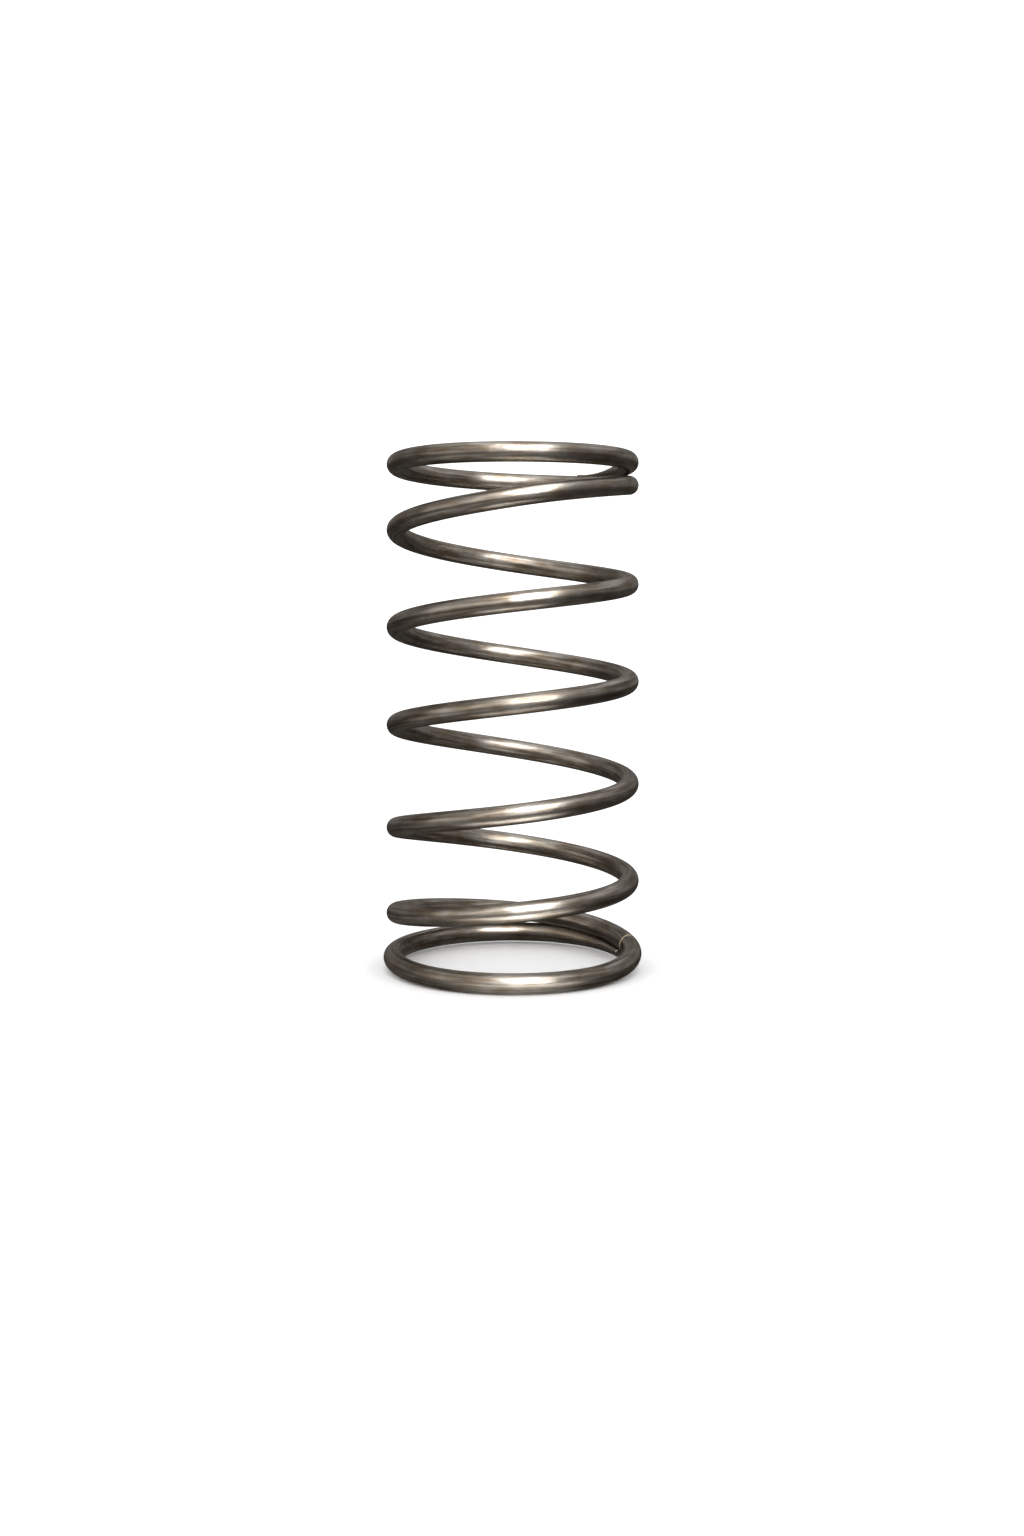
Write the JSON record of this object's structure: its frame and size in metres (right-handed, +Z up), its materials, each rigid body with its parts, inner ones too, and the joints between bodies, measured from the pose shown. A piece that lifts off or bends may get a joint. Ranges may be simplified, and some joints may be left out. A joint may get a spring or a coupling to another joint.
{
  "type": "compression spring",
  "caption": "Free-standing open helical compression spring of round steel wire, with closed end coils that sit flat.",
  "frame": {"origin": "on the coil's axis, on the floor under the bottom end coil", "axes": "+Z up along the coil's axis; +X towards the side where the bottom end coil begins and the active turns leave it; +Y is the rear"},
  "size_m": [0.0398, 0.0398, 0.0797],
  "materials": {
    "spring_wire": "drawn steel wire, warm grey, satin to bright"
  },
  "bodies": {
    "bottom_end_coil": {"bottom_end_coil": "spring_wire"},
    "coil_2_rear_right": {"coil_2_rear_right": "spring_wire"},
    "coil_2_rear_left": {"coil_2_rear_left": "spring_wire"},
    "coil_2_front_left": {"coil_2_front_left": "spring_wire"},
    "coil_2_front_right": {"coil_2_front_right": "spring_wire"},
    "coil_3_rear_right": {"coil_3_rear_right": "spring_wire"},
    "coil_3_rear_left": {"coil_3_rear_left": "spring_wire"},
    "coil_3_front_left": {"coil_3_front_left": "spring_wire"},
    "coil_3_front_right": {"coil_3_front_right": "spring_wire"},
    "coil_4_rear_right": {"coil_4_rear_right": "spring_wire"},
    "coil_4_rear_left": {"coil_4_rear_left": "spring_wire"},
    "coil_4_front_left": {"coil_4_front_left": "spring_wire"},
    "coil_4_front_right": {"coil_4_front_right": "spring_wire"},
    "coil_5_rear_right": {"coil_5_rear_right": "spring_wire"},
    "coil_5_rear_left": {"coil_5_rear_left": "spring_wire"},
    "coil_5_front_left": {"coil_5_front_left": "spring_wire"},
    "coil_5_front_right": {"coil_5_front_right": "spring_wire"},
    "coil_6_rear_right": {"coil_6_rear_right": "spring_wire"},
    "coil_6_rear_left": {"coil_6_rear_left": "spring_wire"},
    "coil_6_front_left": {"coil_6_front_left": "spring_wire"},
    "coil_6_front_right": {"coil_6_front_right": "spring_wire"},
    "top_end_coil": {"top_end_coil": "spring_wire"}
  },
  "joints": [
    {"name": "compression", "type": "slide", "parent": "bottom_end_coil", "child": "top_end_coil", "axis": [0, 0, 1], "range_m": [-0.044, 0], "stiffness_N_per_m": 3440},
    {"name": "coil_2_rear_right_tilt", "type": "hinge", "parent": "bottom_end_coil", "child": "coil_2_rear_right", "pos_m": [0.02194, 0.00394, 0.00365], "axis": [0.7071, 0.7071, 0], "range_deg": [-0.69, 0]},
    {"name": "coil_2_rear_left_tilt", "type": "hinge", "parent": "bottom_end_coil", "child": "coil_2_rear_left", "pos_m": [-0.00094, 0.02459, 0.0062], "axis": [-0.7071, 0.7071, 0], "range_deg": [-4.32, 0]},
    {"name": "coil_2_front_left_tilt", "type": "hinge", "parent": "bottom_end_coil", "child": "coil_2_front_left", "pos_m": [-0.0424, 0.01695, 0.00856], "axis": [-0.7071, -0.7071, 0], "range_deg": [-4.35, 0]},
    {"name": "coil_2_front_right_tilt", "type": "hinge", "parent": "bottom_end_coil", "child": "coil_2_front_right", "pos_m": [-0.07072, -0.09618, 0.01043], "axis": [0.7071, -0.7071, 0], "range_deg": [-2.27, 0]},
    {"name": "coil_3_rear_right_tilt", "type": "hinge", "parent": "bottom_end_coil", "child": "coil_3_rear_right", "pos_m": [0.07405, -0.0486, 0.01189], "axis": [0.7071, 0.7071, 0], "range_deg": [-3.99, 0]},
    {"name": "coil_3_rear_left_tilt", "type": "hinge", "parent": "bottom_end_coil", "child": "coil_3_rear_left", "pos_m": [0.03429, 0.05974, 0.0147], "axis": [-0.7071, 0.7071, 0], "range_deg": [-7.38, 0]},
    {"name": "coil_3_front_left_tilt", "type": "hinge", "parent": "bottom_end_coil", "child": "coil_3_front_left", "pos_m": [-0.08653, 0.06107, 0.0181], "axis": [-0.7071, -0.7071, 0], "range_deg": [-6.38, 0]},
    {"name": "coil_3_front_right_tilt", "type": "hinge", "parent": "bottom_end_coil", "child": "coil_3_front_right", "pos_m": [-0.14012, -0.16557, 0.02039], "axis": [0.7071, -0.7071, 0], "range_deg": [-3.68, 0]},
    {"name": "coil_4_rear_right_tilt", "type": "hinge", "parent": "bottom_end_coil", "child": "coil_4_rear_right", "pos_m": [0.13917, -0.11372, 0.02231], "axis": [0.7071, 0.7071, 0], "range_deg": [-5.06, 0]},
    {"name": "coil_4_rear_left_tilt", "type": "hinge", "parent": "bottom_end_coil", "child": "coil_4_rear_left", "pos_m": [0.08349, 0.10894, 0.02537], "axis": [-0.7071, 0.7071, 0], "range_deg": [-7.85, 0]},
    {"name": "coil_4_front_left_tilt", "type": "hinge", "parent": "top_end_coil", "child": "coil_4_front_left", "pos_m": [0.12746, -0.15291, 0.05084], "axis": [-0.7071, -0.7071, 0], "range_deg": [-6.44, 0]},
    {"name": "coil_4_front_right_tilt", "type": "hinge", "parent": "top_end_coil", "child": "coil_4_front_right", "pos_m": [0.24647, 0.22101, 0.05311], "axis": [0.7071, -0.7071, 0], "range_deg": [-3.48, 0]},
    {"name": "coil_5_rear_right_tilt", "type": "hinge", "parent": "top_end_coil", "child": "coil_5_rear_right", "pos_m": [-0.14763, 0.17308, 0.05492], "axis": [0.7071, 0.7071, 0], "range_deg": [-4.62, 0]},
    {"name": "coil_5_rear_left_tilt", "type": "hinge", "parent": "top_end_coil", "child": "coil_5_rear_left", "pos_m": [-0.10126, -0.0758, 0.0578], "axis": [-0.7071, 0.7071, 0], "range_deg": [-7.16, 0]},
    {"name": "coil_5_front_left_tilt", "type": "hinge", "parent": "top_end_coil", "child": "coil_5_front_left", "pos_m": [0.07335, -0.09881, 0.06101], "axis": [-0.7071, -0.7071, 0], "range_deg": [-5.99, 0]},
    {"name": "coil_5_front_right_tilt", "type": "hinge", "parent": "top_end_coil", "child": "coil_5_front_right", "pos_m": [0.12572, 0.10026, 0.06326], "axis": [0.7071, -0.7071, 0], "range_deg": [-3.79, 0]},
    {"name": "coil_6_rear_right_tilt", "type": "hinge", "parent": "top_end_coil", "child": "coil_6_rear_right", "pos_m": [-0.05787, 0.08332, 0.06527], "axis": [0.7071, 0.7071, 0], "range_deg": [-4.95, 0]},
    {"name": "coil_6_rear_left_tilt", "type": "hinge", "parent": "top_end_coil", "child": "coil_6_rear_left", "pos_m": [-0.04877, -0.02331, 0.06814], "axis": [-0.7071, 0.7071, 0], "range_deg": [-6.76, 0]},
    {"name": "coil_6_front_left_tilt", "type": "hinge", "parent": "top_end_coil", "child": "coil_6_front_left", "pos_m": [0.00708, -0.03253, 0.07109], "axis": [-0.7071, -0.7071, 0], "range_deg": [-6.35, 0]},
    {"name": "coil_6_front_right_tilt", "type": "hinge", "parent": "top_end_coil", "child": "coil_6_front_right", "pos_m": [0.02173, -0.00373, 0.07389], "axis": [0.7071, -0.7071, 0], "range_deg": [-3.82, 0]}
  ],
  "couplings": [
    {"joint": "coil_2_rear_right_tilt", "follows": "compression", "rad_per_m": 0.26784},
    {"joint": "coil_2_rear_left_tilt", "follows": "compression", "rad_per_m": 1.7076},
    {"joint": "coil_2_front_left_tilt", "follows": "compression", "rad_per_m": 1.7198},
    {"joint": "coil_2_front_right_tilt", "follows": "compression", "rad_per_m": 0.89338},
    {"joint": "coil_3_rear_right_tilt", "follows": "compression", "rad_per_m": 1.5785},
    {"joint": "coil_3_rear_left_tilt", "follows": "compression", "rad_per_m": 2.9202},
    {"joint": "coil_3_front_left_tilt", "follows": "compression", "rad_per_m": 2.5242},
    {"joint": "coil_3_front_right_tilt", "follows": "compression", "rad_per_m": 1.453},
    {"joint": "coil_4_rear_right_tilt", "follows": "compression", "rad_per_m": 2.0023},
    {"joint": "coil_4_rear_left_tilt", "follows": "compression", "rad_per_m": 3.1095},
    {"joint": "coil_4_front_left_tilt", "follows": "compression", "rad_per_m": 2.5467},
    {"joint": "coil_4_front_right_tilt", "follows": "compression", "rad_per_m": 1.3763},
    {"joint": "coil_5_rear_right_tilt", "follows": "compression", "rad_per_m": 1.8264},
    {"joint": "coil_5_rear_left_tilt", "follows": "compression", "rad_per_m": 2.8345},
    {"joint": "coil_5_front_left_tilt", "follows": "compression", "rad_per_m": 2.3709},
    {"joint": "coil_5_front_right_tilt", "follows": "compression", "rad_per_m": 1.4981},
    {"joint": "coil_6_rear_right_tilt", "follows": "compression", "rad_per_m": 1.9572},
    {"joint": "coil_6_rear_left_tilt", "follows": "compression", "rad_per_m": 2.6766},
    {"joint": "coil_6_front_left_tilt", "follows": "compression", "rad_per_m": 2.5126},
    {"joint": "coil_6_front_right_tilt", "follows": "compression", "rad_per_m": 1.5082}
  ]
}
